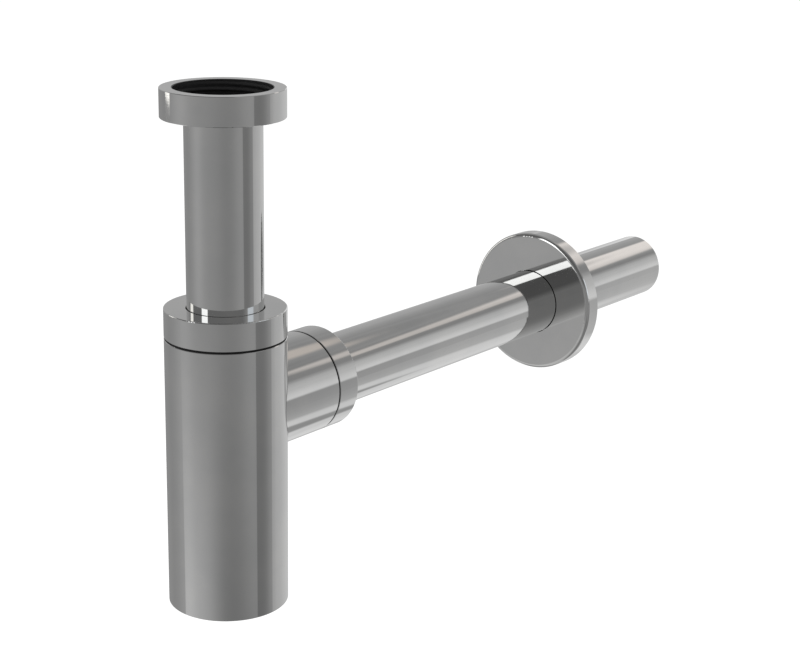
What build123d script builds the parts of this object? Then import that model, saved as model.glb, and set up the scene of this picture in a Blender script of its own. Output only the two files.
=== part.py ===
from build123d import *
import os

# Bottle trap for a wash basin, turned and drawn in chrome-plated brass, for 32 mm waste tube.
# A coupling nut hangs the upright inlet tube from the basin's waste. The tube dips into the
# water that the bottle keeps, and the wall pipe leaves the bottle's side branch through a
# compression joint and passes through a cover plate into the wall.
# Sizes are in millimetres. The origin is the centre of the washer's top face, on which the
# waste's tail seats. +Z points up into the basin, and +Y points along the wall pipe.

# Tubes
tube_radius = 16.0
tube_wall = 1.0
tube_end_chamfer = 0.3

# Clearances, and the small bevel left on every turned edge
sliding_gap = 0.3
thread_gap = 0.3
turning_gap = 0.1
seal_gap = 0.05
braze_gap = 0.05
edge_break = 0.2

# Coupling nut, with the pitch radius of the 1 1/4 inch pipe thread that it is screwed on
nut_radius = 25.5
nut_height = 12.0
nut_web = 1.8
nut_thread_radius = 20.2155
nut_relief = 0.8
nut_mouth = 0.3

# What the nut holds: washer, rolled flange of the inlet tube, slip ring
washer_thickness = 2.3
washer_bore_radius = 14.5
washer_bite = 0.3
flange_thickness = 1.1
flange_clearance = 1.1155
flange_bend = 0.8
nut_ring_thickness = 0.5

# Bottle
bottle_radius = 25.5
bottle_wall = 1.5
bottle_height = 116.8
base_thickness = 2.5
inlet_drop = 84.4
water_seal = 50.0

# Side branch, with the room between the neck ring and the wall pipe under it
branch_radius = 22.5
branch_reach = 46.3
branch_clearance = 0.8
branch_spigot_wall = 1.5

# Compression joints: the bore that each is screwed into, and the collar that closes it
neck_thread_wall = 1.4
branch_thread_wall = 2.6
thread_depth = 7.8
throat_gap = 0.7
throat_land = 0.6
neck_collar_height = 12.0
branch_collar_height = 11.6
collar_web = 2.0
collar_edge = 0.4
spigot_reach = 5.2
spigot_wall = 2.4
pressure_ring_thickness = 1.0
gasket_thickness = 0.8
gasket_recess = 0.25

# Wall pipe, and the cover plate that an elastic ring holds on it
pipe_start = 21.5
pipe_length = 300.0
plate_radius = 35.0
plate_face = 221.2
plate_depth = 9.0
plate_wall = 1.2
plate_edge = 1.8
plate_lip = 0.6
grip_ring_section = 1.2

# Radii and heights that follow from the sizes above
tube_bore = tube_radius - tube_wall
sliding_hole = tube_radius + sliding_gap
sealing_hole = tube_radius + seal_gap
throat_radius = tube_radius + throat_gap
cavity_radius = bottle_radius - bottle_wall
neck_thread_radius = cavity_radius - neck_thread_wall
neck_ring_depth = thread_depth + neck_thread_radius - throat_radius + throat_land
branch_thread_radius = branch_radius - branch_thread_wall
branch_below_rim = neck_ring_depth + branch_clearance + tube_radius
flange_radius = nut_thread_radius - flange_clearance
flange_top = -washer_thickness
flange_bottom = flange_top - flange_thickness
nut_web_top = flange_bottom - nut_ring_thickness
nut_bottom = nut_web_top - nut_web
nut_top = nut_bottom + nut_height
neck_rim = -inlet_drop - neck_collar_height - gasket_thickness
bottle_floor = neck_rim - bottle_height
branch_height = neck_rim - branch_below_rim
tube_end = branch_height - tube_bore - water_seal
branch_spigot_radius = throat_radius + branch_spigot_wall

# Planes for the outlines, x away from each joint's own axis and y out of its mouth
neck_plane = Plane(origin=(0, 0, neck_rim), x_dir=(1, 0, 0), z_dir=(0, -1, 0))
branch_plane = Plane(origin=(0, branch_reach, branch_height), x_dir=(1, 0, 0), z_dir=(0, 0, 1))
pipe_plane = Plane(origin=(0, 0, branch_height), x_dir=(1, 0, 0), z_dir=(0, 0, 1))
port_plane = Plane(origin=(0, 0, branch_height), x_dir=(1, 0, 0), z_dir=(0, 1, 0))
pipe_axis = Axis((0, 0, branch_height), (0, 1, 0))

os.makedirs("parts", exist_ok=True)


def seat_bore(plane, axis, thread_radius, length):
    """The space cut out for a compression joint: thread bore, 45 degree seat and throat."""
    seat_end = -thread_depth - (thread_radius - throat_radius)
    with BuildPart() as bore:
        with BuildSketch(plane):
            with BuildLine():
                Polyline(
                    (0, 0),
                    (thread_radius, 0),
                    (thread_radius, -thread_depth),
                    (throat_radius, seat_end),
                    (throat_radius, -length),
                    (0, -length),
                    close=True,
                )
            make_face()
        revolve(axis=axis)
    return bore.part


neck_bore = seat_bore(neck_plane, Axis.Z, neck_thread_radius, neck_ring_depth)
branch_bore = seat_bore(branch_plane, pipe_axis, branch_thread_radius, branch_reach)

# Coupling nut: a plain round nut, threaded above a relief that leaves room for the washer
with BuildPart() as inlet_nut:
    with BuildSketch(Plane.XZ):
        with BuildLine():
            Polyline(
                (sliding_hole, nut_bottom),
                (nut_radius, nut_bottom),
                (nut_radius, nut_top),
                (nut_thread_radius, nut_top),
                (nut_thread_radius, 0),
                (nut_thread_radius + nut_relief, 0),
                (nut_thread_radius + nut_relief, nut_web_top),
                (sliding_hole, nut_web_top),
                close=True,
            )
        make_face()
    revolve(axis=Axis.Z)
    end_edges = inlet_nut.edges().filter_by(GeomType.CIRCLE).group_by(Axis.Z)
    chamfer(end_edges[0], edge_break)
    chamfer(end_edges[-1].sort_by(SortBy.RADIUS)[-1], edge_break)
    mouth_edge = inlet_nut.edges().filter_by(GeomType.CIRCLE).group_by(Axis.Z)[-1]
    chamfer(mouth_edge.sort_by(SortBy.RADIUS)[0], nut_mouth)
inlet_nut.part.label = "inlet_nut"
export_step(inlet_nut.part, "parts/inlet_nut.step")

# Flat washer, wider than the thread, so that it stays in the nut and keeps the tube there
with BuildPart() as inlet_washer:
    with BuildSketch(Plane.XY.offset(flange_top)):
        Circle(nut_thread_radius + washer_bite)
        Circle(washer_bore_radius, mode=Mode.SUBTRACT)
    extrude(amount=washer_thickness)
inlet_washer.part.label = "inlet_washer"
export_step(inlet_washer.part, "parts/inlet_washer.step")

# Slip ring on which the nut turns under the tube's flange
with BuildPart() as nut_slip_ring:
    with BuildSketch(Plane.XY.offset(nut_web_top)):
        Circle(nut_thread_radius + washer_bite)
        Circle(tube_radius + flange_bend + turning_gap, mode=Mode.SUBTRACT)
    extrude(amount=nut_ring_thickness)
nut_slip_ring.part.label = "nut_slip_ring"
export_step(nut_slip_ring.part, "parts/nut_slip_ring.step")

# Inlet tube: drawn tube with its upper end rolled out into a flange
with BuildPart() as inlet_tube:
    with BuildSketch(Plane.XZ):
        with BuildLine():
            Polyline(
                (tube_bore, tube_end),
                (tube_radius, tube_end),
                (tube_radius, flange_bottom),
                (flange_radius, flange_bottom),
                (flange_radius, flange_top),
                (tube_bore, flange_top),
                close=True,
            )
        make_face()
    revolve(axis=Axis.Z)
    rings = inlet_tube.edges().filter_by(GeomType.CIRCLE).group_by(Axis.Z)
    cut_end, bend, mouth = rings
    fillet(bend.sort_by(SortBy.RADIUS)[0], flange_bend)
    fillet(mouth.sort_by(SortBy.RADIUS)[0], flange_bend + flange_thickness)
    chamfer(cut_end, tube_end_chamfer)
inlet_tube.part.label = "inlet_tube"
export_step(inlet_tube.part, "parts/inlet_tube.step")

# Bottle: drawn tube, open at both ends, with the port that the side branch plugs into
with BuildPart() as bottle_body:
    with BuildSketch(Plane.XY.offset(bottle_floor)):
        Circle(bottle_radius)
        Circle(cavity_radius, mode=Mode.SUBTRACT)
    extrude(amount=bottle_height)
    rim_edges = bottle_body.edges().filter_by(GeomType.CIRCLE).sort_by(SortBy.RADIUS)[-2:]
    chamfer(rim_edges, edge_break)
    with BuildSketch(port_plane):
        Circle(branch_spigot_radius + braze_gap)
    extrude(amount=branch_reach, mode=Mode.SUBTRACT)
bottle_body.part.label = "bottle_body"
export_step(bottle_body.part, "parts/bottle_body.step")

# Base: a disc brazed into the lower end, flush with it
with BuildPart() as bottle_base:
    with BuildSketch(Plane.XY.offset(bottle_floor)):
        Circle(cavity_radius - braze_gap)
    extrude(amount=base_thickness)
    chamfer(bottle_base.edges().filter_by(GeomType.CIRCLE).sort_by(Axis.Z)[0], edge_break)
bottle_base.part.label = "bottle_base"
export_step(bottle_base.part, "parts/bottle_base.step")

# Neck ring: brazed into the bottle's upper end, threaded for the collar, with the seal's seat
with BuildPart() as neck_ring:
    with BuildSketch(Plane.XY.offset(neck_rim)):
        Circle(cavity_radius - braze_gap)
    extrude(amount=-neck_ring_depth)
    add(neck_bore, mode=Mode.SUBTRACT)
neck_ring.part.label = "neck_ring"
export_step(neck_ring.part, "parts/neck_ring.step")

# Outlet socket: the side branch, saddled on the bottle, its spigot flush with the cavity wall
with BuildPart() as outlet_socket:
    with BuildSketch(port_plane.offset(branch_reach)):
        Circle(branch_radius)
    extrude(amount=-branch_reach)
    mouth_edges = outlet_socket.edges().filter_by(GeomType.CIRCLE).sort_by(Axis.Y)
    chamfer(mouth_edges[-1], edge_break)
    with BuildSketch(Plane.XY.offset(bottle_floor)):
        Circle(bottle_radius + braze_gap)
    extrude(amount=bottle_height, mode=Mode.SUBTRACT)
    with BuildSketch(port_plane):
        Circle(branch_spigot_radius)
    extrude(amount=branch_reach)
    with BuildSketch(Plane.XY.offset(bottle_floor)):
        Circle(cavity_radius)
    extrude(amount=bottle_height, mode=Mode.SUBTRACT)
    add(branch_bore, mode=Mode.SUBTRACT)
outlet_socket.part.label = "outlet_socket"
export_step(outlet_socket.part, "parts/outlet_socket.step")

# Compression joints at the neck and at the branch, the same but for their radii. Outlines are
# given from the mouth's rim: positive heights stand out of it and negative ones lie inside.
compression_joints = {
    "inlet": (neck_plane, Axis.Z, bottle_radius, neck_thread_radius, neck_collar_height),
    "outlet": (branch_plane, pipe_axis, branch_radius, branch_thread_radius, branch_collar_height),
}
for side, (plane, axis, rim_radius, thread_radius, collar_height) in compression_joints.items():
    spigot_radius = thread_radius - thread_gap
    spigot_bore = spigot_radius - spigot_wall
    collar_end = gasket_thickness + collar_height
    seal_top = -spigot_reach - pressure_ring_thickness
    seat_lift = seal_gap * 2**0.5 - thread_depth - thread_radius

    # Black gasket between the rim and the collar, set back a little from both
    with BuildPart() as gasket:
        with BuildSketch(plane):
            with BuildLine():
                Polyline(
                    (thread_radius, 0),
                    (rim_radius - gasket_recess, 0),
                    (rim_radius - gasket_recess, gasket_thickness),
                    (thread_radius, gasket_thickness),
                    close=True,
                )
            make_face()
        revolve(axis=axis)
    gasket.part.label = f"{side}_gasket"
    export_step(gasket.part, f"parts/{side}_gasket.step")

    # Collar: a turned cap with a threaded spigot that presses on the slip ring
    with BuildPart() as collar:
        with BuildSketch(plane):
            with BuildLine():
                Polyline(
                    (sliding_hole, collar_end),
                    (rim_radius, collar_end),
                    (rim_radius, gasket_thickness),
                    (spigot_radius, gasket_thickness),
                    (spigot_radius, -spigot_reach),
                    (spigot_bore, -spigot_reach),
                    (spigot_bore, collar_end - collar_web),
                    (sliding_hole, collar_end - collar_web),
                    close=True,
                )
            make_face()
        revolve(axis=axis)
        spigot_end, shoulder, *_, outer_end = (
            collar.edges().filter_by(GeomType.CIRCLE).group_by(axis)
        )
        chamfer(spigot_end, collar_edge)
        chamfer(shoulder.sort_by(SortBy.RADIUS)[-1], edge_break)
        fillet(outer_end.sort_by(SortBy.RADIUS)[-1], collar_edge)
        chamfer(outer_end.sort_by(SortBy.RADIUS)[0], edge_break)
    collar.part.label = f"{side}_collar"
    export_step(collar.part, f"parts/{side}_collar.step")

    # Slip ring that keeps the turning spigot off the seal
    with BuildPart() as slip_ring:
        with BuildSketch(plane):
            with BuildLine():
                Polyline(
                    (tube_radius + turning_gap, -spigot_reach),
                    (spigot_radius, -spigot_reach),
                    (spigot_radius, seal_top),
                    (tube_radius + turning_gap, seal_top),
                    close=True,
                )
            make_face()
        revolve(axis=axis)
    slip_ring.part.label = f"{side}_slip_ring"
    export_step(slip_ring.part, f"parts/{side}_slip_ring.step")

    # Tapered seal, wedged between the tube and the 45 degree seat
    with BuildPart() as seal:
        with BuildSketch(plane):
            with BuildLine():
                Polyline(
                    (sealing_hole, seal_top),
                    (spigot_radius, seal_top),
                    (spigot_radius, spigot_radius + seat_lift),
                    (throat_radius, throat_radius + seat_lift),
                    (sealing_hole, throat_radius + seat_lift),
                    close=True,
                )
            make_face()
        revolve(axis=axis)
    seal.part.label = f"{side}_seal"
    export_step(seal.part, f"parts/{side}_seal.step")

# Wall pipe: straight drawn tube, bevelled at both ends
with BuildPart() as wall_pipe:
    with BuildSketch(port_plane.offset(pipe_start)):
        Circle(tube_radius)
        Circle(tube_bore, mode=Mode.SUBTRACT)
    extrude(amount=pipe_length)
    chamfer(wall_pipe.edges().filter_by(GeomType.CIRCLE), tube_end_chamfer)
wall_pipe.part.label = "wall_pipe"
export_step(wall_pipe.part, "parts/wall_pipe.step")

# Cover plate: a spun dish, open to the wall, with a hub whose lip keeps the grip ring in
ring_groove_start = plate_face + plate_wall
ring_groove_width = 2 * (grip_ring_section + turning_gap)
hub_lip_start = ring_groove_start + ring_groove_width
hub_bore = sealing_hole + 2 * grip_ring_section + turning_gap
plate_back = plate_face + plate_depth
with BuildPart() as rosette:
    with BuildSketch(pipe_plane):
        with BuildLine():
            Polyline(
                (sliding_hole, plate_face),
                (plate_radius, plate_face),
                (plate_radius, plate_back),
                (plate_radius - plate_wall, plate_back),
                (plate_radius - plate_wall, ring_groove_start),
                (hub_bore + plate_wall, ring_groove_start),
                (hub_bore + plate_wall, hub_lip_start + plate_lip),
                (hub_bore - grip_ring_section, hub_lip_start + plate_lip),
                (hub_bore - grip_ring_section, hub_lip_start),
                (hub_bore, hub_lip_start),
                (hub_bore, ring_groove_start),
                (sliding_hole, ring_groove_start),
                close=True,
            )
        make_face()
    revolve(axis=pipe_axis)
    face_edges, inner_edges = rosette.edges().filter_by(GeomType.CIRCLE).group_by(Axis.Y)[:2]
    fillet(face_edges.sort_by(SortBy.RADIUS)[-1], plate_edge)
    fillet(inner_edges.sort_by(SortBy.RADIUS)[-1], plate_edge - plate_wall)
rosette.part.label = "rosette"
export_step(rosette.part, "parts/rosette.step")

# Grip ring: a rubber ring of round section between the hub and the pipe
with BuildPart() as rosette_ring:
    with BuildSketch(pipe_plane):
        with Locations(
            (sealing_hole + grip_ring_section, ring_groove_start + ring_groove_width / 2)
        ):
            Circle(grip_ring_section)
    revolve(axis=pipe_axis)
rosette_ring.part.label = "rosette_ring"
export_step(rosette_ring.part, "parts/rosette_ring.step")
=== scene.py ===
import math

import bmesh
import bpy
from mathutils import Matrix, Vector


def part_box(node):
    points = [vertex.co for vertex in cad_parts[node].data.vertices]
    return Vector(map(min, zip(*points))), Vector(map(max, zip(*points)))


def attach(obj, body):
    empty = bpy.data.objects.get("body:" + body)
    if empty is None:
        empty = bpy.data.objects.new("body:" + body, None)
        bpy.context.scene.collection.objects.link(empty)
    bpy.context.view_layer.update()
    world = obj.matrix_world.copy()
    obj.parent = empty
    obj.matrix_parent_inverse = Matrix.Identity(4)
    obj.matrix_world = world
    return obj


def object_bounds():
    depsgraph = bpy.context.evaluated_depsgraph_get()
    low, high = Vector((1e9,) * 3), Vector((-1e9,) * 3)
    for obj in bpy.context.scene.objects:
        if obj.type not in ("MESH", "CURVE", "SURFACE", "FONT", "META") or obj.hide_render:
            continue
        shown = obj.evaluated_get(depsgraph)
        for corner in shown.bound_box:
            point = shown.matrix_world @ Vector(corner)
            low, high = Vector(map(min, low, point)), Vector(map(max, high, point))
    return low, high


# A chrome bottle trap, hung by its coupling nut. Metres, in the frame of the model: +Z up, +Y
# along the wall pipe, and the origin on top of the nut's washer.
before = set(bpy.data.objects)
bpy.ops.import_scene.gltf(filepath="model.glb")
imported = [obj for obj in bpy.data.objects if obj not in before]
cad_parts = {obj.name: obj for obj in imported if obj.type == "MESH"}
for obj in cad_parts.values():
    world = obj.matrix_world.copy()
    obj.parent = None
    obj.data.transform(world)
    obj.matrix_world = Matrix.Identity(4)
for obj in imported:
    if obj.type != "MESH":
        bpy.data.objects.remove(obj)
model_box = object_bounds()

MM = 0.001
Y_AXIS = 1
Z_AXIS = 2

# Camera, solved from the edges measured in the photograph
CAMERA_PLACE = Vector((502.8, -516.3, 119.8)) * MM
CAMERA_TURN = math.radians(38.52)
CAMERA_PITCH = math.radians(-16.39)
CAMERA_ROLL = math.radians(0.93)
CAMERA_LENS = 81.63
SENSOR_WIDTH = 36.0
NEAREST_SEEN = 0.01
FARTHEST_SEEN = 60

# Threads that the solid model leaves plain. A ridge's foot and crest are given by their half
# widths as parts of the pitch, and its foot is sunk a little into the wall that carries it.
NUT_THREAD_RADIUS = 20.2155 * MM
NUT_THREAD_PITCH = 2.309 * MM
NUT_THREAD_DEPTH = 0.74 * MM
NUT_THREAD_START = 0.1 * MM
NUT_THREAD_STOP = 0.3 * MM
COLLAR_THREAD_PITCH = 1.5 * MM
COLLAR_THREAD_DEPTH = 0.24 * MM
COLLAR_THREAD_START = 0.4 * MM
RIDGE_FOOT = 0.44
RIDGE_CREST = 0.07
RIDGE_SINK = 0.02 * MM
STEPS_PER_TURN = 72

# Where the chrome plating stops, with a soft edge: the nut's inside, from just under its slip ring
# up, is near-black painted shade for its dark hollow, and each collar is bare brass inside and on
# its spigot, from 3 mm past the gasket's face to the spigot's end
PLATING_EDGE = 0.05 * MM
NUT_PAINTED_SHADE_UNDER_RING = (0.3 * MM, 0.1 * MM)
COLLAR_BARE_PAST_FACE = (4 * MM, 3 * MM)
SPIGOT_OVER_SLIP_RING = 0.1 * MM
# Painted shade: the near-black of the nut's dark hollow
NUT_INSIDE_PAINTED_SHADE = (0.02, 0.02, 0.021)
SPIGOT_BRASS = (0.62, 0.47, 0.22)
BARE_STAIN = 0.8
BARE_METALLIC_LOSS = 0.5
BARE_DULLNESS = 0.4

RUBBER_RINGS = (
    "inlet_washer", "inlet_gasket", "inlet_seal", "outlet_gasket", "outlet_seal", "rosette_ring",
)
PLASTIC_RINGS = ("nut_slip_ring", "inlet_slip_ring", "outlet_slip_ring")

# Colours of each finish, from one end of its shading to the other
CHROME_TONES = (0.60, 0.602, 0.60), (0.64, 0.638, 0.632)
RUBBER_TONES = (0.004, 0.004, 0.0043), (0.009, 0.009, 0.0094)
PLASTIC_TONES = (0.72, 0.71, 0.68), (0.80, 0.79, 0.76)
BRASS_TONES = (0.71, 0.53, 0.24), (0.50, 0.36, 0.17)
# The nut's thread tones are near-black painted shade for the dark in the nut's hollow
NUT_THREAD_PAINTED_SHADE_TONES = (0.013, 0.013, 0.0135), (0.020, 0.020, 0.0205)
PAPER_TONES = (0.79, 0.79, 0.79), (0.81, 0.81, 0.81)

# Chrome: a mirror's own roughness, and what polishing haze, pits and tool marks add to it
MIRROR_ROUGHNESS = 0.03
HAZE_ROUGHNESS = 0.03
DRAWN_MARKS = {"scale": 900.0, "roughness": 0.02, "height": 0.4}
TURNED_MARKS = {"scale": 2600.0, "roughness": 0.03, "height": 0.8}
PIT_HEIGHT = 0.3

# Studio: a white paper floor well below, an even sky for matt surfaces, and two soft lamps, each
# with its place, width and power
FLOOR_DROP = 0.45
FLOOR_SIZE = 24.0
PAPER_GLOW = 0.55
SKY_LEVEL = 0.62
LAMP_TARGET = Vector((0, 0.12, -0.1))
SOFT_LAMPS = (
    ("key_lamp", Vector((-0.6, -1.4, 1.5)), 0.9, 9.0),
    ("fill_lamp", Vector((1.7, 0.2, 0.9)), 1.2, 5.0),
)

# What the chrome mirrors of the studio. Bearings are from +Y round to +X and heights from level
# up, in degrees. A tone is the grey, 0 to 255, in which the chrome shows that part on screen. A
# step is its start, its end and the levels before and after, 0 and 1 if not given. A band is its
# two ends and their softness, and a panel is its band of heights and its band of bearings.
CHROME_REFLECTANCE = 0.62
SCREEN_WHITE = 255
SCREEN_GAMMA = 2.2

# The walls of grey cloth by bearing, from their top to their foot, which is paler in the rear and
# darker on the right, with a dark corner on the right
WALL_TONES = (
    (-180, 131), (-160, 138), (-140, 146), (-118, 136), (-100, 128), (-76, 125), (-46, 119),
    (-42, 152), (-12, 172), (14, 166), (34, 158), (46, 142), (58, 131), (76, 132), (90, 133),
    (108, 124), (128, 119), (150, 124), (180, 131),
)
WALL_TOP = (-5, -1)
WALL_FOOT = (-15, -30)
REAR_WALL_START = (-38, 12)
REAR_WALL_END = (47, 49, 1.0, 0.0)
REAR_FOOT_GAIN = 0.55
RIGHT_WALL = (70, 150, 25)
RIGHT_FOOT_LOSS = 0.22
CORNER_START = (28, 72)
CORNER_END = (78.7, 79.3, 1.0, 0.0)
CORNER_LOSS = 0.36

# The roof, the opening in it over the back, and the side screen that hangs from it
FRONT_HALF = (-95, 75, 12)
FRONT_ROOF = (16, 42, 0.5, 0.37)
BACK_ROOF = (12, 25, 0.31, 0.155)
OPENING_SIDES = (-34, 14, 3)
OPENING_TOP = (11, 16, 1.0, 0.0)
SCREEN_SIDES = (20, 62, 5)
SCREEN_HEIGHTS = (-2, 16)
SCREEN_TONES = (193, 168)
SCREEN_TOP = (15, 25, 1.0, 0.51)

# The pale table underneath, with a dark gap in it, and the faint streaks in roof and table
TABLE = ((-54, -34.5, 3), (-110, 44, 12))
TABLE_TONE = 192
GAP_EDGE = (-40.3, -42.5)
GAP_SIDES = (3, 31, 4)
GAP_TONE = 137
STREAKS_PER_DEGREE = 0.35
STREAK_STRENGTH = 0.18
ROOF_STREAKS = (3, 9)
TABLE_STREAKS = (-27, -33)

# Lamps and windows
LONG_LAMP = ((29.5, 35.5, 1.6), (-12, 34, 3))
LONG_LAMP_LEVEL = (5, 28, 1.12, 0.74)
LONG_LAMP_LIGHT = (1.0, 0.945, 0.905)
HIGH_LAMP = ((43, 60, 1.2), (-14, 8, 5))
HIGH_LAMP_LIGHT = (0.72, 0.66, 0.61)
LEFT_WINDOW_SILL = (-9.26, -9.18)
LEFT_WINDOW_TOP = (30, 33, 1.0, 0.0)
LEFT_WINDOW_SIDES = (-114, -99.5, 0.8)
LEFT_WINDOW_LIGHT = (1.86, 1.83, 1.74)
SILL_SLANT = 0.018
SILL_PIVOT = -100
REAR_WINDOW = ((4, 42, 1.5), (-170, -150, 0.8))
REAR_WINDOW_LIGHT = (2.2, 2.22, 2.21)
RIGHT_WINDOW = ((3, 26, 2), (50, 67, 2))
RIGHT_WINDOW_LIGHT = (1.08, 1.15, 1.22)


class Value:
    """A number carried by a shader socket, which takes part in ordinary arithmetic."""

    def __init__(self, recipe, socket):
        self.recipe = recipe
        self.socket = socket

    def maths(self, operation, first, second=0.0):
        return self.recipe.node("ShaderNodeMath", {"operation": operation}, {0: first, 1: second})

    def __add__(self, other):
        return self.maths("ADD", self, other)

    def __radd__(self, other):
        return self.maths("ADD", other, self)

    def __sub__(self, other):
        return self.maths("SUBTRACT", self, other)

    def __rsub__(self, other):
        return self.maths("SUBTRACT", other, self)

    def __mul__(self, other):
        return self.maths("MULTIPLY", self, other)

    def __rmul__(self, other):
        return self.maths("MULTIPLY", other, self)

    def __truediv__(self, other):
        return self.maths("DIVIDE", self, other)

    def __pow__(self, power):
        return self.maths("POWER", self, power)

    def either(self, other):
        return self.maths("MAXIMUM", self, other)

    def arc_sine(self):
        """The angle, in degrees, that has this value as its sine."""
        angle = self.maths("ARCSINE", self)
        return self.maths("DEGREES", angle)

    def bearing(self, ahead):
        """The angle, in degrees, of a point this far to the right and that far ahead."""
        angle = self.maths("ARCTAN2", self, ahead)
        return self.maths("DEGREES", angle)

    def rise(self, start, end, low=0.0, high=1.0):
        """Goes smoothly from low to high as the value goes from start to end."""
        return self.recipe.node(
            "ShaderNodeMapRange",
            {"interpolation_type": "SMOOTHSTEP"},
            {0: self, 1: start, 2: end, 3: low, 4: high},
        )

    def between(self, low, high, edge):
        """1 inside the band and 0 outside it, with both sides softened over edge."""
        return self.rise(low - edge, low + edge) * self.rise(high - edge, high + edge, 1.0, 0.0)


class Recipe:
    """A material or world, made node by node."""

    def __init__(self, owner):
        self.owner = owner
        owner.use_nodes = True
        self.tree = owner.node_tree
        self.tree.nodes.clear()

    def node(self, kind, settings=None, sockets=None, output=0):
        """One node: its settings first, then the values or links of its sockets."""
        made = self.tree.nodes.new(kind)
        for name, setting in (settings or {}).items():
            if name == "stops":
                self.set_stops(made.color_ramp, setting)
            else:
                setattr(made, name, setting)
        for name, given in (sockets or {}).items():
            if isinstance(given, Value):
                self.tree.links.new(given.socket, made.inputs[name])
            else:
                made.inputs[name].default_value = given
        return Value(self, made.outputs[output]) if made.outputs else made

    def set_stops(self, ramp, stops):
        ramp.interpolation = "CARDINAL"
        while len(ramp.elements) < len(stops):
            ramp.elements.new(1.0)
        for element, (place, grey) in zip(ramp.elements, stops):
            element.position = place
            element.color = (grey, grey, grey, 1.0)

    def parts(self, vector):
        return [self.node("ShaderNodeSeparateXYZ", sockets={0: vector}, output=axis) for axis in range(3)]

    def place(self):
        """The point's own coordinates in the model."""
        return self.node("ShaderNodeTexCoord", output="Object")

    def noise(self, point, scale, detail=2.0, roughness=0.5):
        sockets = {"Vector": point, "Scale": scale, "Detail": detail, "Roughness": roughness}
        return self.node("ShaderNodeTexNoise", sockets=sockets)

    def line_noise(self, along, scale, detail=2.0):
        """Noise that changes along one measure only, as tool marks do."""
        return self.node(
            "ShaderNodeTexNoise",
            {"noise_dimensions": "1D"},
            {"W": along, "Scale": scale, "Detail": detail},
        )

    def mixed(self, amount, first, second):
        """The first colour at amount 0 and the second at 1."""
        first, second = ((*tone, 1.0) if isinstance(tone, tuple) else tone for tone in (first, second))
        sockets = {"Factor": amount, 6: first, 7: second}
        return self.node("ShaderNodeMix", {"data_type": "RGBA"}, sockets, output=2)

    def scaled(self, colour, amount):
        sockets = {0: colour, "Scale": amount}
        return self.node("ShaderNodeVectorMath", {"operation": "SCALE"}, sockets)

    def bump(self, height, strength, distance):
        sockets = {"Height": height, "Strength": strength, "Distance": distance}
        return self.node("ShaderNodeBump", sockets=sockets)

    def finish(self, sockets):
        shader = self.node("ShaderNodeBsdfPrincipled", sockets=sockets)
        self.node("ShaderNodeOutputMaterial", sockets={"Surface": shader})
        return self.owner


def new_recipe(name):
    return Recipe(bpy.data.materials.new(name))


def chrome_recipe(name, along, tool_marks):
    """Polished plating: a mirror with faint tool marks, polishing haze and fine pits."""
    recipe = new_recipe(name)
    point = recipe.place()
    axes = recipe.parts(point)
    haze = recipe.noise(point, scale=38.0, detail=4.0, roughness=0.6)
    pits = recipe.noise(point, scale=900.0, detail=3.0, roughness=0.65)
    marks = recipe.line_noise(axes[along], tool_marks["scale"], detail=4.0)
    roughness = MIRROR_ROUGHNESS + haze.rise(0.35, 0.75) * HAZE_ROUGHNESS + marks * tool_marks["roughness"]
    height = marks * tool_marks["height"] + pits * PIT_HEIGHT
    colour = recipe.mixed(haze.rise(0.3, 0.7), *CHROME_TONES)
    return recipe, axes, colour, roughness, height


def polished_chrome(name, along, tool_marks=DRAWN_MARKS):
    recipe, _, colour, roughness, height = chrome_recipe(name, along, tool_marks)
    return recipe.finish({
        "Base Color": colour,
        "Metallic": 1.0,
        "Roughness": roughness,
        "Normal": recipe.bump(height, strength=0.05, distance=0.02 * MM),
    })


def part_plated_chrome(name, along, axis_height, inner_tone_radius, inner_tone_span, bare_metal_and_painted_shade_tone):
    """Chrome, but a dull given tone within the given radius of its axis and past the given span: bare
    brass in a collar, painted shade in the nut.
    """
    recipe, axes, colour, roughness, height = chrome_recipe(name, along, TURNED_MARKS)
    across = axes[Y_AXIS] if along == Z_AXIS else axes[Z_AXIS] - axis_height
    radius = (axes[0] ** 2 + across ** 2) ** 0.5
    inside = radius.rise(inner_tone_radius - PLATING_EDGE, inner_tone_radius + PLATING_EDGE, 1.0, 0.0)
    inside = inside * axes[along].rise(*inner_tone_span)
    dull = recipe.mixed(height, tuple(BARE_STAIN * tone for tone in bare_metal_and_painted_shade_tone), bare_metal_and_painted_shade_tone)
    return recipe.finish({
        "Base Color": recipe.mixed(inside, colour, dull),
        "Metallic": 1.0 - BARE_METALLIC_LOSS * inside,
        "Roughness": roughness + BARE_DULLNESS * inside,
        "Normal": recipe.bump(height, strength=0.08, distance=0.02 * MM),
    })


def black_rubber():
    recipe = new_recipe("black_rubber")
    point = recipe.place()
    grain = recipe.noise(point, scale=1400.0, detail=4.0, roughness=0.6)
    bloom = recipe.noise(point, scale=90.0, detail=3.0)
    return recipe.finish({
        "Base Color": recipe.mixed(bloom.rise(0.35, 0.75), *RUBBER_TONES),
        "Roughness": 0.5 + 0.2 * grain,
        "Specular IOR Level": 0.2,
        "Normal": recipe.bump(grain, strength=0.25, distance=0.06 * MM),
    })


def white_plastic():
    recipe = new_recipe("white_plastic")
    grain = recipe.noise(recipe.place(), scale=700.0, detail=3.0)
    return recipe.finish({
        "Base Color": recipe.mixed(grain, *PLASTIC_TONES),
        "Roughness": 0.38 + 0.14 * grain,
        "Normal": recipe.bump(grain, strength=0.15, distance=0.04 * MM),
    })


def bare_brass():
    recipe = new_recipe("bare_brass")
    point = recipe.place()
    marks = recipe.line_noise(recipe.parts(point)[Z_AXIS], scale=2400.0, detail=4.0)
    stain = recipe.noise(point, scale=120.0, detail=4.0, roughness=0.6)
    return recipe.finish({
        "Base Color": recipe.mixed(stain.rise(0.35, 0.7), *BRASS_TONES),
        "Metallic": 1.0,
        "Roughness": 0.24 + 0.12 * marks + 0.15 * stain,
        "Normal": recipe.bump(marks, strength=0.2, distance=0.04 * MM),
    })


# Painted shade: the thread inside the nut is coloured near-black for the dark of its hollow
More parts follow.
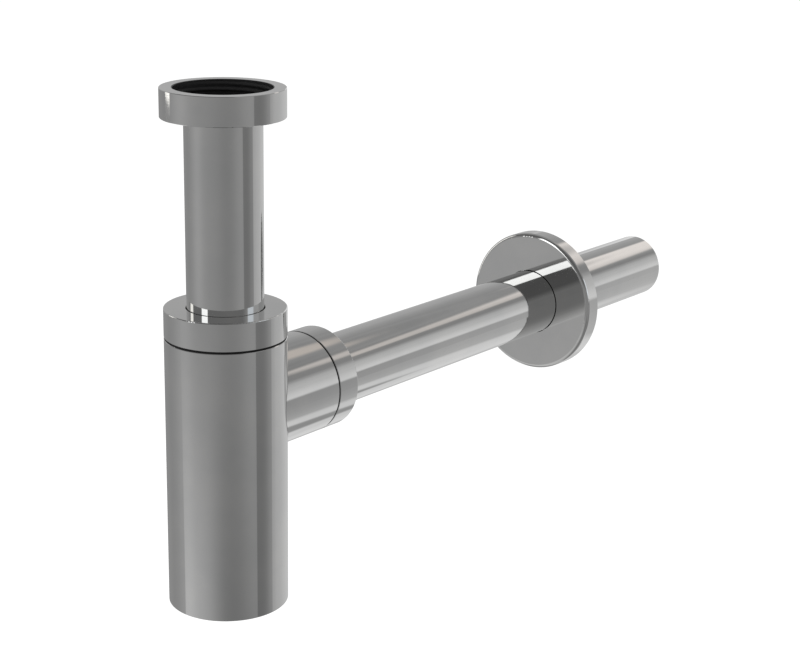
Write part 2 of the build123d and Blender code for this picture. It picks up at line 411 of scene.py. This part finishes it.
def nut_thread_painted_shade():
    recipe = new_recipe("nut_thread_painted_shade")
    stain = recipe.noise(recipe.place(), scale=400.0, detail=4.0, roughness=0.6)
    return recipe.finish({
        "Base Color": recipe.mixed(stain, *NUT_THREAD_PAINTED_SHADE_TONES),
        "Specular IOR Level": 0.25,
        "Roughness": 0.6 + 0.15 * stain,
        "Normal": recipe.bump(stain, strength=0.2, distance=0.04 * MM),
    })


def dress(node, material):
    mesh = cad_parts[node].data
    mesh.materials.clear()
    mesh.materials.append(material)


def pipe_height():
    return sum(corner.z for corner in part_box("wall_pipe")) / 2


def dress_collar(node, finish, along, slip_ring, face):
    """A collar is plated outside, and bare brass inside and on its spigot, from its face down."""
    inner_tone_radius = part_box(slip_ring)[1].x + SPIGOT_OVER_SLIP_RING
    inner_tone_span = [face + past for past in COLLAR_BARE_PAST_FACE]
    dress(node, part_plated_chrome(finish, along, pipe_height(), inner_tone_radius, inner_tone_span, SPIGOT_BRASS))


def dress_pieces():
    drawn_upright = polished_chrome("chrome_drawn_upright", Z_AXIS)
    drawn_level = polished_chrome("chrome_drawn_level", Y_AXIS)
    dress("inlet_tube", drawn_upright)
    dress("bottle_body", drawn_upright)
    dress("outlet_socket", drawn_level)
    dress("wall_pipe", drawn_level)
    dress("rosette", polished_chrome("chrome_spun", Y_AXIS, TURNED_MARKS))
    dress("bottle_base", polished_chrome("chrome_base", Z_AXIS, TURNED_MARKS))

    # The nut's inside gets near-black painted shade, from under its slip ring up
    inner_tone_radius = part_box("inlet_washer")[1].x
    inner_tone_span = [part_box("nut_slip_ring")[0].z - under for under in NUT_PAINTED_SHADE_UNDER_RING]
    dress("inlet_nut", part_plated_chrome("chrome_nut", Z_AXIS, 0.0, inner_tone_radius, inner_tone_span, NUT_INSIDE_PAINTED_SHADE))
    neck_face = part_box("inlet_gasket")[0].z
    dress_collar("inlet_collar", "chrome_neck_collar", Z_AXIS, "inlet_slip_ring", neck_face)
    branch_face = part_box("outlet_gasket")[1].y
    dress_collar("outlet_collar", "chrome_branch_collar", Y_AXIS, "outlet_slip_ring", branch_face)

    dress("neck_ring", bare_brass())
    rubber = black_rubber()
    for ring in RUBBER_RINGS:
        dress(ring, rubber)
    plastic = white_plastic()
    for ring in PLASTIC_RINGS:
        dress(ring, plastic)


def ridge_rings(along, centre, root, crest, pitch, start, end):
    """The ridge's outline at each step round its axis, fading in and out over half a turn."""
    turns = (end - start) / pitch - 1
    steps = int(turns * STEPS_PER_TURN)
    for step in range(steps + 1):
        turn = step / STEPS_PER_TURN
        fade = min(1.0, 2 * turn, 2 * (turns - turn)) if 0 < step < steps else 0.0
        angle = 2 * math.pi * turn
        middle = start + (turn + 0.5) * pitch
        top = root + fade * (crest - root)
        outline = ((root, -RIDGE_FOOT), (top, -RIDGE_CREST), (top, RIDGE_CREST), (root, RIDGE_FOOT))
        ring = []
        for radius, shift in outline:
            right, ahead = radius * math.cos(angle), radius * math.sin(angle)
            height = middle + shift * pitch
            spot = (right, ahead, height) if along == Z_AXIS else (right, height, -ahead)
            ring.append(centre + Vector(spot))
        yield ring


def thread_ridge(name, body, material, along, centre, root, crest, pitch, start, end):
    """One helical ridge from start to end along its axis."""
    mesh = bmesh.new()
    rings = [
        [mesh.verts.new(spot) for spot in ring]
        for ring in ridge_rings(along, centre, root, crest, pitch, start, end)
    ]
    for near, far in zip(rings, rings[1:]):
        for corner in range(4):
            following = (corner + 1) % 4
            mesh.faces.new((near[corner], near[following], far[following], far[corner]))
    mesh.faces.new(reversed(rings[0]))
    mesh.faces.new(rings[-1])
    bmesh.ops.recalc_face_normals(mesh, faces=mesh.faces)
    data = bpy.data.meshes.new(name)
    mesh.to_mesh(data)
    mesh.free()
    for face in data.polygons:
        face.use_smooth = False
    ridge = bpy.data.objects.new(name, data)
    bpy.context.scene.collection.objects.link(ridge)
    data.materials.append(material)
    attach(ridge, body)


def cut_collar_thread(name, body, along, centre, slip_ring, gasket):
    """The brass thread on a collar's spigot, from the slip ring under it up to the gasket."""
    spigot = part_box(slip_ring)[1].x
    thread_ridge(
        name, body, bpy.data.materials["bare_brass"], along, centre,
        root=spigot - RIDGE_SINK,
        crest=spigot + COLLAR_THREAD_DEPTH,
        pitch=COLLAR_THREAD_PITCH,
        start=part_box(slip_ring)[1][along] + COLLAR_THREAD_START,
        end=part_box(gasket)[0][along],
    )


def cut_threads():
    thread_ridge(
        "nut_thread", "nut", nut_thread_painted_shade(), Z_AXIS, Vector(),
        root=NUT_THREAD_RADIUS + RIDGE_SINK,
        crest=NUT_THREAD_RADIUS - NUT_THREAD_DEPTH,
        pitch=NUT_THREAD_PITCH,
        start=NUT_THREAD_START,
        end=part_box("inlet_nut")[1].z - NUT_THREAD_STOP,
    )
    cut_collar_thread(
        "neck_spigot_thread", "neck_collar", Z_AXIS, Vector(), "inlet_slip_ring", "inlet_gasket"
    )
    cut_collar_thread(
        "branch_spigot_thread", "branch_collar", Y_AXIS, Vector((0, 0, pipe_height())),
        "outlet_slip_ring", "outlet_gasket",
    )


def seen_directly(recipe):
    """1 for what the camera sees, straight or in glass and metal, and 0 for plain lighting."""
    camera, metal, glass = (
        recipe.node("ShaderNodeLightPath", output=name)
        for name in ("Is Camera Ray", "Is Glossy Ray", "Is Transmission Ray")
    )
    return camera.either(metal).either(glass)


def white_paper():
    recipe = new_recipe("white_paper")
    grain = recipe.noise(recipe.place(), scale=60.0, detail=3.0)
    tone = recipe.mixed(grain, *PAPER_TONES)
    paper = recipe.node("ShaderNodeBsdfDiffuse", sockets={"Color": tone})
    glow = recipe.node("ShaderNodeEmission", sockets={"Color": (1, 1, 1, 1), "Strength": PAPER_GLOW})
    lit = recipe.node("ShaderNodeAddShader", sockets={0: paper, 1: glow})
    shader = recipe.node("ShaderNodeMixShader", sockets={0: seen_directly(recipe), 1: paper, 2: lit})
    recipe.node("ShaderNodeOutputMaterial", sockets={"Surface": shader})
    return recipe.owner


def lay_floor():
    half = FLOOR_SIZE / 2
    height = model_box[0][2] - FLOOR_DROP
    data = bpy.data.meshes.new("studio_floor")
    corners = [(-half, -half, height), (half, -half, height), (half, half, height), (-half, half, height)]
    data.from_pydata(corners, [], [(0, 1, 2, 3)])
    data.materials.append(white_paper())
    floor = bpy.data.objects.new("studio_floor", data)
    bpy.context.scene.collection.objects.link(floor)
    floor.visible_glossy = False


def mirrored(tone):
    """The light of a surface that the polished chrome shows in the given screen tone."""
    return (tone / SCREEN_WHITE) ** SCREEN_GAMMA / CHROME_REFLECTANCE


def compass(bearing):
    """A bearing as a place on the ramp of wall tones, 0 to 1."""
    return (bearing + 180) / 360


def cloth_walls(recipe, bearing, rear_bearing, height):
    """Tones by bearing, and near the foot paler in the rear and darker on the right."""
    stops = [(compass(place), mirrored(tone)) for place, tone in WALL_TONES]
    cloth = recipe.node("ShaderNodeValToRGB", {"stops": stops}, {0: compass(bearing)})
    rear = rear_bearing.rise(*REAR_WALL_START) * rear_bearing.rise(*REAR_WALL_END)
    right = bearing.between(*RIGHT_WALL)
    foot = height.rise(*WALL_FOOT) * (REAR_FOOT_GAIN * rear - RIGHT_FOOT_LOSS * right)
    corner = bearing.rise(*CORNER_START) * bearing.rise(*CORNER_END)
    return cloth * (1 + foot) * (1 - CORNER_LOSS * corner)


def roof(bearing, height):
    """Pale in front and dark behind, with a white opening over the back and a screen beside it."""
    front = bearing.between(*FRONT_HALF)
    ceiling = front * height.rise(*FRONT_ROOF) + (1 - front) * height.rise(*BACK_ROOF)
    opening = bearing.between(*OPENING_SIDES) * height.rise(*OPENING_TOP)
    ceiling = ceiling * (1 - opening) + opening
    screen = bearing.between(*SCREEN_SIDES)
    screen_tone = height.rise(*SCREEN_HEIGHTS, *(mirrored(tone) for tone in SCREEN_TONES))
    return ceiling * (1 - screen) + screen_tone * height.rise(*SCREEN_TOP) * screen


def surroundings(recipe):
    """The studio as the chrome mirrors it, by the direction of the ray."""
    east, north, up = recipe.parts(recipe.node("ShaderNodeTexCoord", output="Generated"))
    bearing = east.bearing(north)
    rear_bearing = (0 - east).bearing(0 - north)
    height = up.arc_sine()

    def panel(heights, bearings):
        return height.between(*heights) * bearing.between(*bearings)

    above = height.rise(*WALL_TOP)
    walls = cloth_walls(recipe, bearing, rear_bearing, height)
    room = roof(bearing, height) * above + walls * (1 - above)
    table = panel(*TABLE)
    room = mirrored(TABLE_TONE) * table + room * (1 - table)
    gap = height.rise(*GAP_EDGE) * bearing.between(*GAP_SIDES)
    room = mirrored(GAP_TONE) * gap + room * (1 - gap)
    streaks = recipe.line_noise(height, STREAKS_PER_DEGREE) - 0.5
    streaked = height.rise(*ROOF_STREAKS) + height.rise(*TABLE_STREAKS)
    room = room * (1 + STREAK_STRENGTH * streaks * streaked)

    long_lamp_light = recipe.scaled(LONG_LAMP_LIGHT, bearing.rise(*LONG_LAMP_LEVEL))
    sill = (height - SILL_SLANT * (bearing - SILL_PIVOT)).rise(*LEFT_WINDOW_SILL)
    left_window = sill * height.rise(*LEFT_WINDOW_TOP) * bearing.between(*LEFT_WINDOW_SIDES)
    shade = recipe.mixed(panel(*LONG_LAMP), room, long_lamp_light)
    shade = recipe.mixed(panel(*HIGH_LAMP), shade, HIGH_LAMP_LIGHT)
    shade = recipe.mixed(left_window, shade, LEFT_WINDOW_LIGHT)
    shade = recipe.mixed(panel(*REAR_WINDOW), shade, REAR_WINDOW_LIGHT)
    return recipe.mixed(panel(*RIGHT_WINDOW), shade, RIGHT_WINDOW_LIGHT)


def light_sky():
    """White to the camera, the studio to the chrome, and a plain even grey to matt surfaces."""
    world = bpy.data.worlds.new("studio")
    bpy.context.scene.world = world
    recipe = Recipe(world)
    metal = recipe.node("ShaderNodeLightPath", output="Is Glossy Ray")
    plain = seen_directly(recipe).rise(0, 1, SKY_LEVEL, 1.0)
    shade = recipe.mixed(metal, plain, surroundings(recipe))
    sky = recipe.node("ShaderNodeBackground", sockets={"Color": shade, "Strength": 1.0})
    recipe.node("ShaderNodeOutputWorld", sockets={"Surface": sky})


def hang_soft_lamps():
    for name, place, size, power in SOFT_LAMPS:
        data = bpy.data.lights.new(name, "AREA")
        data.shape = "DISK"
        data.size = size
        data.energy = power
        lamp = bpy.data.objects.new(name, data)
        lamp.location = place
        lamp.rotation_euler = (LAMP_TARGET - lamp.location).to_track_quat("-Z", "Y").to_euler()
        lamp.visible_glossy = False
        bpy.context.scene.collection.objects.link(lamp)


def set_camera():
    data = bpy.data.cameras.new("camera")
    data.sensor_fit = "HORIZONTAL"
    data.sensor_width = SENSOR_WIDTH
    data.lens = CAMERA_LENS
    data.clip_start = NEAREST_SEEN
    data.clip_end = FARTHEST_SEEN
    camera = bpy.data.objects.new("camera", data)
    camera.matrix_world = (
        Matrix.Translation(CAMERA_PLACE)
        @ Matrix.Rotation(CAMERA_TURN, 4, "Z")
        @ Matrix.Rotation(math.radians(90) + CAMERA_PITCH, 4, "X")
        @ Matrix.Rotation(CAMERA_ROLL, 4, "Z")
    )
    bpy.context.scene.collection.objects.link(camera)
    bpy.context.scene.camera = camera


set_camera()
dress_pieces()
cut_threads()
lay_floor()
light_sky()
hang_soft_lamps()
bpy.context.scene.view_settings.view_transform = "Standard"
